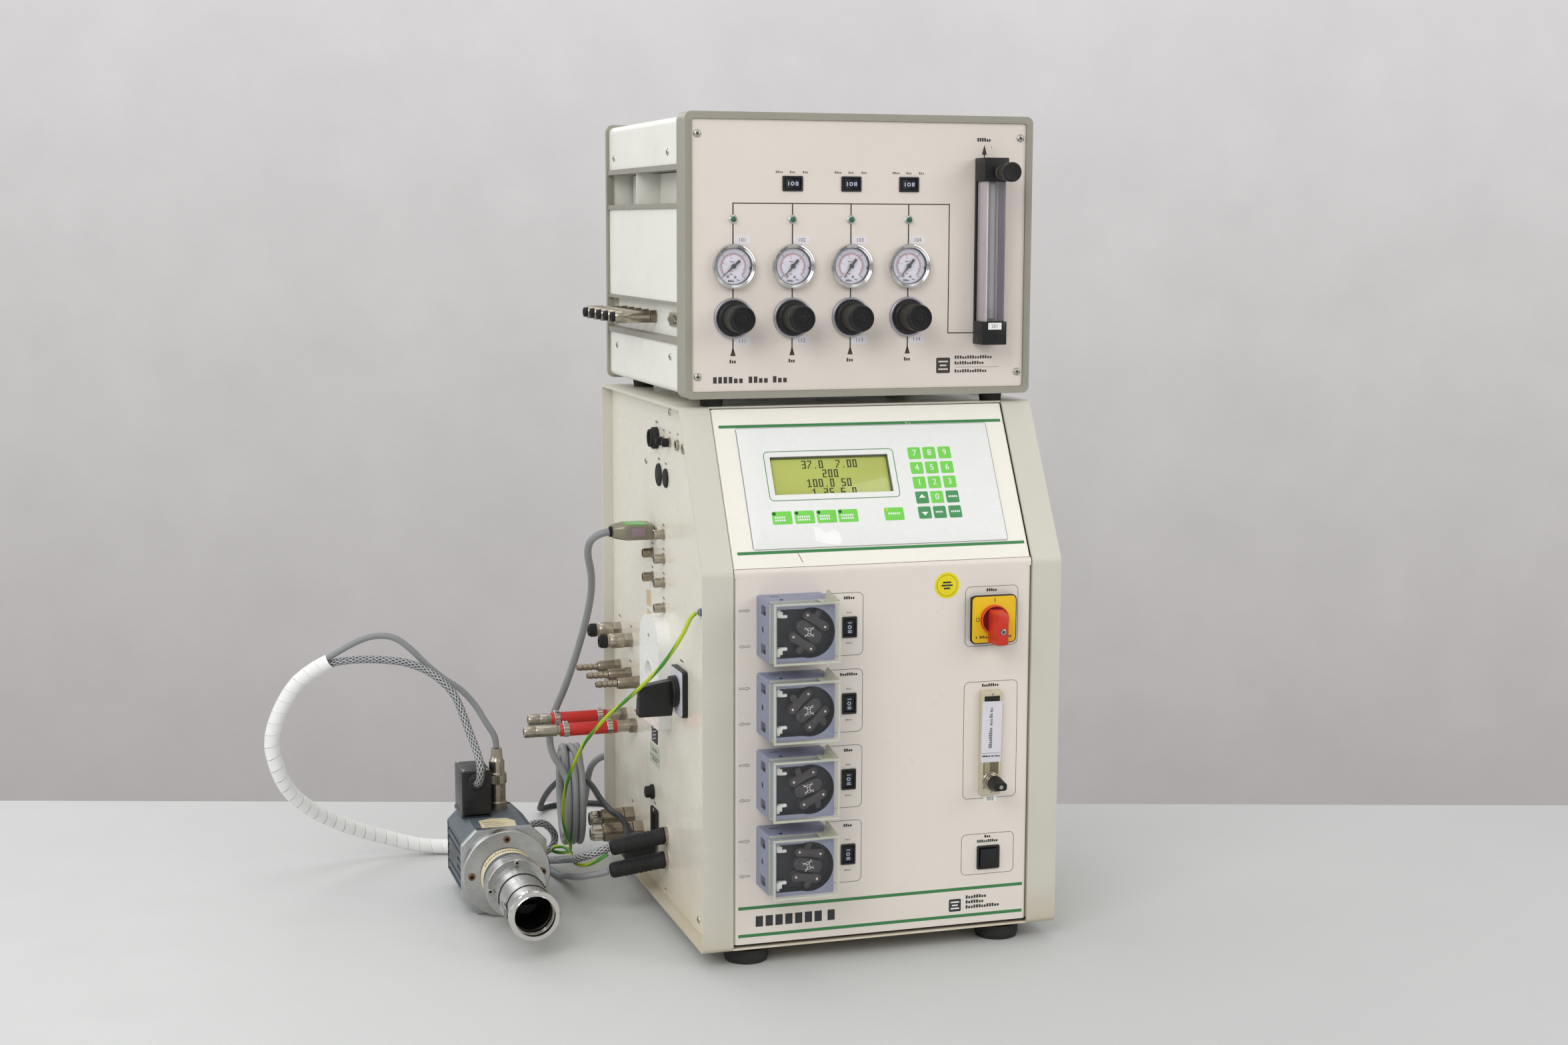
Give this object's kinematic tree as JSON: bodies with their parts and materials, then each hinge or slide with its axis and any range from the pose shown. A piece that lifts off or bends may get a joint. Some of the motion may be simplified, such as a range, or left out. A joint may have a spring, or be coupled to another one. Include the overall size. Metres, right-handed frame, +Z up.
{
  "type": "bench bioreactor controller",
  "caption": "Bench bioreactor controller: tower with tube pumps and keypad, gas mixing unit on top, stirrer motor beside it with its cables.",
  "frame": {"origin": "on the table, in the middle of the rectangle that the tower, the gas unit and the motor cover, without the cords", "axes": "+X to the tower's right seen from its front, +Y from its front to its back, +Z up"},
  "size_m": [0.7609, 0.7162, 0.838],
  "materials": {
    "frame_paint": "satin",
    "sheet_paint": "gloss",
    "panel_paint": "satin",
    "display_film": "satin",
    "foot_rubber": "matte",
    "inner_metal": "satin",
    "pump_housing": "satin",
    "pump_rotor": "matte",
    "clear_cover": "gloss",
    "switch_black": "satin",
    "handle_red": "satin",
    "meter_body": "satin",
    "socket_metal": "satin",
    "fitting_metal": "satin",
    "screw_steel": "satin",
    "gas_frame_paint": "satin",
    "gas_cover_paint": "satin",
    "gas_panel_paint": "satin",
    "gauge_chrome": "polished",
    "needle_black": "matte",
    "regulator_alloy": "satin",
    "motor_paint": "matte",
    "motor_alloy": "machined",
    "dark_steel": "satin",
    "latch_steel": "polished",
    "braid_cable": "satin",
    "grey_cable": "satin",
    "white_wrap": "satin",
    "black_cable": "matte",
    "earth_cable": "satin"
  },
  "bodies": {
    "stand": {"side_frames": "frame_paint", "tower_sheets": "sheet_paint", "front_panel": "panel_paint", "control_panel": "panel_paint", "keypad_overlay": "display_film", "feet": "foot_rubber", "internal_units": "inner_metal", "pump_housings": "pump_housing", "switch_frames": "switch_black", "rotameters": "meter_body", "side_sockets": "socket_metal", "tube_fittings": "fitting_metal", "fasteners": "screw_steel", "gas_frame": "gas_frame_paint", "gas_covers": "gas_cover_paint", "gas_front_panel": "gas_panel_paint", "gauge_cases": "gauge_chrome", "regulator_bodies": "regulator_alloy", "motor_case": "motor_paint", "motor_flange": "motor_alloy", "motor_connectors": "switch_black", "motor_power_cable": "braid_cable", "motor_signal_cable": "grey_cable", "cable_wrap": "white_wrap", "sensor_lead": "grey_cable", "mains_lead": "black_cable", "lead_coils": "grey_cable", "lead_plugs": "switch_black", "earth_wire": "earth_cable"},
    "pump_rotor_1": {"pump_rotor_1": "pump_rotor"},
    "pump_rotor_2": {"pump_rotor_2": "pump_rotor"},
    "pump_rotor_3": {"pump_rotor_3": "pump_rotor"},
    "pump_rotor_4": {"pump_rotor_4": "pump_rotor"},
    "pump_cover_1": {"pump_cover_1": "clear_cover"},
    "pump_cover_2": {"pump_cover_2": "clear_cover"},
    "pump_cover_3": {"pump_cover_3": "clear_cover"},
    "pump_cover_4": {"pump_cover_4": "clear_cover"},
    "pump_rocker_1": {"pump_rocker_1": "switch_black"},
    "pump_rocker_2": {"pump_rocker_2": "switch_black"},
    "pump_rocker_3": {"pump_rocker_3": "switch_black"},
    "pump_rocker_4": {"pump_rocker_4": "switch_black"},
    "gas_rocker_1": {"gas_rocker_1": "switch_black"},
    "gas_rocker_2": {"gas_rocker_2": "switch_black"},
    "gas_rocker_3": {"gas_rocker_3": "switch_black"},
    "mains_handle": {"mains_handle": "handle_red"},
    "selector_knob": {"selector_knob": "switch_black"},
    "fill_button": {"fill_button": "switch_black"},
    "aeration_knob": {"aeration_knob": "switch_black"},
    "gas_flow_knob": {"gas_flow_knob": "switch_black"},
    "gas_flow_float": {"gas_flow_float": "needle_black"},
    "gauge_needle_1": {"gauge_needle_1": "needle_black"},
    "gauge_needle_2": {"gauge_needle_2": "needle_black"},
    "gauge_needle_3": {"gauge_needle_3": "needle_black"},
    "gauge_needle_4": {"gauge_needle_4": "needle_black"},
    "regulator_knob_1": {"regulator_knob_1": "switch_black"},
    "regulator_knob_2": {"regulator_knob_2": "switch_black"},
    "regulator_knob_3": {"regulator_knob_3": "switch_black"},
    "regulator_knob_4": {"regulator_knob_4": "switch_black"},
    "motor_shaft": {"motor_coupling": "dark_steel"},
    "neck_latch": {"neck_latch": "latch_steel"}
  },
  "joints": [
    {"name": "pump_1_turn", "type": "hinge", "parent": "stand", "child": "pump_rotor_1", "pos_m": [0.0045, -0.2095, 0.343], "axis": [0, 1, 0], "continuous": true},
    {"name": "pump_2_turn", "type": "hinge", "parent": "stand", "child": "pump_rotor_2", "pos_m": [0.0045, -0.2095, 0.2664], "axis": [0, 1, 0], "continuous": true},
    {"name": "pump_3_turn", "type": "hinge", "parent": "stand", "child": "pump_rotor_3", "pos_m": [0.0045, -0.2095, 0.1898], "axis": [0, 1, 0], "continuous": true},
    {"name": "pump_4_turn", "type": "hinge", "parent": "stand", "child": "pump_rotor_4", "pos_m": [0.0045, -0.2095, 0.1132], "axis": [0, 1, 0], "continuous": true},
    {"name": "pump_1_cover_swing", "type": "hinge", "parent": "stand", "child": "pump_cover_1", "pos_m": [-0.0328, -0.2279, 0.343], "axis": [0, 0, -1], "range_deg": [0, 100]},
    {"name": "pump_2_cover_swing", "type": "hinge", "parent": "stand", "child": "pump_cover_2", "pos_m": [-0.0328, -0.2279, 0.2664], "axis": [0, 0, -1], "range_deg": [0, 100]},
    {"name": "pump_3_cover_swing", "type": "hinge", "parent": "stand", "child": "pump_cover_3", "pos_m": [-0.0328, -0.2279, 0.1898], "axis": [0, 0, -1], "range_deg": [0, 100]},
    {"name": "pump_4_cover_swing", "type": "hinge", "parent": "stand", "child": "pump_cover_4", "pos_m": [-0.0328, -0.2279, 0.1132], "axis": [0, 0, -1], "range_deg": [0, 100]},
    {"name": "pump_1_switch_tilt", "type": "hinge", "parent": "stand", "child": "pump_rocker_1", "pos_m": [0.0616, -0.186, 0.3366], "axis": [1, 0, 0], "range_deg": [-10, 10]},
    {"name": "pump_2_switch_tilt", "type": "hinge", "parent": "stand", "child": "pump_rocker_2", "pos_m": [0.0616, -0.186, 0.26], "axis": [1, 0, 0], "range_deg": [-10, 10]},
    {"name": "pump_3_switch_tilt", "type": "hinge", "parent": "stand", "child": "pump_rocker_3", "pos_m": [0.0616, -0.186, 0.1834], "axis": [1, 0, 0], "range_deg": [-10, 10]},
    {"name": "pump_4_switch_tilt", "type": "hinge", "parent": "stand", "child": "pump_rocker_4", "pos_m": [0.0616, -0.186, 0.1068], "axis": [1, 0, 0], "range_deg": [-10, 10]},
    {"name": "gas_1_switch_tilt", "type": "hinge", "parent": "stand", "child": "gas_rocker_1", "pos_m": [0.0264, -0.1061, 0.769], "axis": [0, 0, 1], "range_deg": [-10, 10]},
    {"name": "gas_2_switch_tilt", "type": "hinge", "parent": "stand", "child": "gas_rocker_2", "pos_m": [0.0876, -0.1061, 0.769], "axis": [0, 0, 1], "range_deg": [-10, 10]},
    {"name": "gas_3_switch_tilt", "type": "hinge", "parent": "stand", "child": "gas_rocker_3", "pos_m": [0.1488, -0.1061, 0.769], "axis": [0, 0, 1], "range_deg": [-10, 10]},
    {"name": "mains_handle_turn", "type": "hinge", "parent": "stand", "child": "mains_handle", "pos_m": [0.2111, -0.208, 0.3384], "axis": [0, -1, 0], "range_deg": [0, 90]},
    {"name": "selector_turn", "type": "hinge", "parent": "stand", "child": "selector_knob", "pos_m": [-0.0965, -0.0645, 0.256], "axis": [1, 0, 0], "range_deg": [0, 90]},
    {"name": "fill_button_press", "type": "slide", "parent": "stand", "child": "fill_button", "axis": [0, 1, 0], "range_m": [0, 0.003], "stiffness_N_per_m": 500, "springref_m": -0.002},
    {"name": "aeration_valve_turn", "type": "hinge", "parent": "stand", "child": "aeration_knob", "pos_m": [0.2114, -0.208, 0.1722], "axis": [0, 1, 0], "range_deg": [0, 1440]},
    {"name": "gas_flow_valve_turn", "type": "hinge", "parent": "stand", "child": "gas_flow_knob", "pos_m": [0.236, -0.1481, 0.7811], "axis": [0, 1, 0], "range_deg": [0, 1440]},
    {"name": "float_rise", "type": "slide", "parent": "stand", "child": "gas_flow_float", "axis": [0, 0, 1], "range_m": [0, 0.125]},
    {"name": "gauge_1_needle_turn", "type": "hinge", "parent": "stand", "child": "gauge_needle_1", "pos_m": [-0.0348, -0.1096, 0.688], "axis": [0, 1, 0], "range_deg": [0, 270], "stiffness_Nm_per_rad": 0.0004, "springref_deg": -5.73},
    {"name": "gauge_2_needle_turn", "type": "hinge", "parent": "stand", "child": "gauge_needle_2", "pos_m": [0.0264, -0.1096, 0.688], "axis": [0, 1, 0], "range_deg": [0, 270], "stiffness_Nm_per_rad": 0.0004, "springref_deg": -5.73},
    {"name": "gauge_3_needle_turn", "type": "hinge", "parent": "stand", "child": "gauge_needle_3", "pos_m": [0.0876, -0.1096, 0.688], "axis": [0, 1, 0], "range_deg": [0, 270], "stiffness_Nm_per_rad": 0.0004, "springref_deg": -5.73},
    {"name": "gauge_4_needle_turn", "type": "hinge", "parent": "stand", "child": "gauge_needle_4", "pos_m": [0.1488, -0.1096, 0.688], "axis": [0, 1, 0], "range_deg": [0, 270], "stiffness_Nm_per_rad": 0.0004, "springref_deg": -5.73},
    {"name": "regulator_1_turn", "type": "hinge", "parent": "stand", "child": "regulator_knob_1", "pos_m": [-0.0348, -0.1281, 0.637], "axis": [0, 1, 0], "range_deg": [0, 1800]},
    {"name": "regulator_2_turn", "type": "hinge", "parent": "stand", "child": "regulator_knob_2", "pos_m": [0.0264, -0.1281, 0.637], "axis": [0, 1, 0], "range_deg": [0, 1800]},
    {"name": "regulator_3_turn", "type": "hinge", "parent": "stand", "child": "regulator_knob_3", "pos_m": [0.0876, -0.1281, 0.637], "axis": [0, 1, 0], "range_deg": [0, 1800]},
    {"name": "regulator_4_turn", "type": "hinge", "parent": "stand", "child": "regulator_knob_4", "pos_m": [0.1488, -0.1281, 0.637], "axis": [0, 1, 0], "range_deg": [0, 1800]},
    {"name": "motor_shaft_turn", "type": "hinge", "parent": "stand", "child": "motor_shaft", "pos_m": [-0.24, -0.0295, 0.0465], "axis": [0, 1, 0], "continuous": true},
    {"name": "neck_latch_swing", "type": "hinge", "parent": "stand", "child": "neck_latch", "pos_m": [-0.2655, -0.0675, 0.0465], "axis": [0, 0, -1], "range_deg": [0, 12], "stiffness_Nm_per_rad": 0.04, "springref_deg": -5.73}
  ]
}
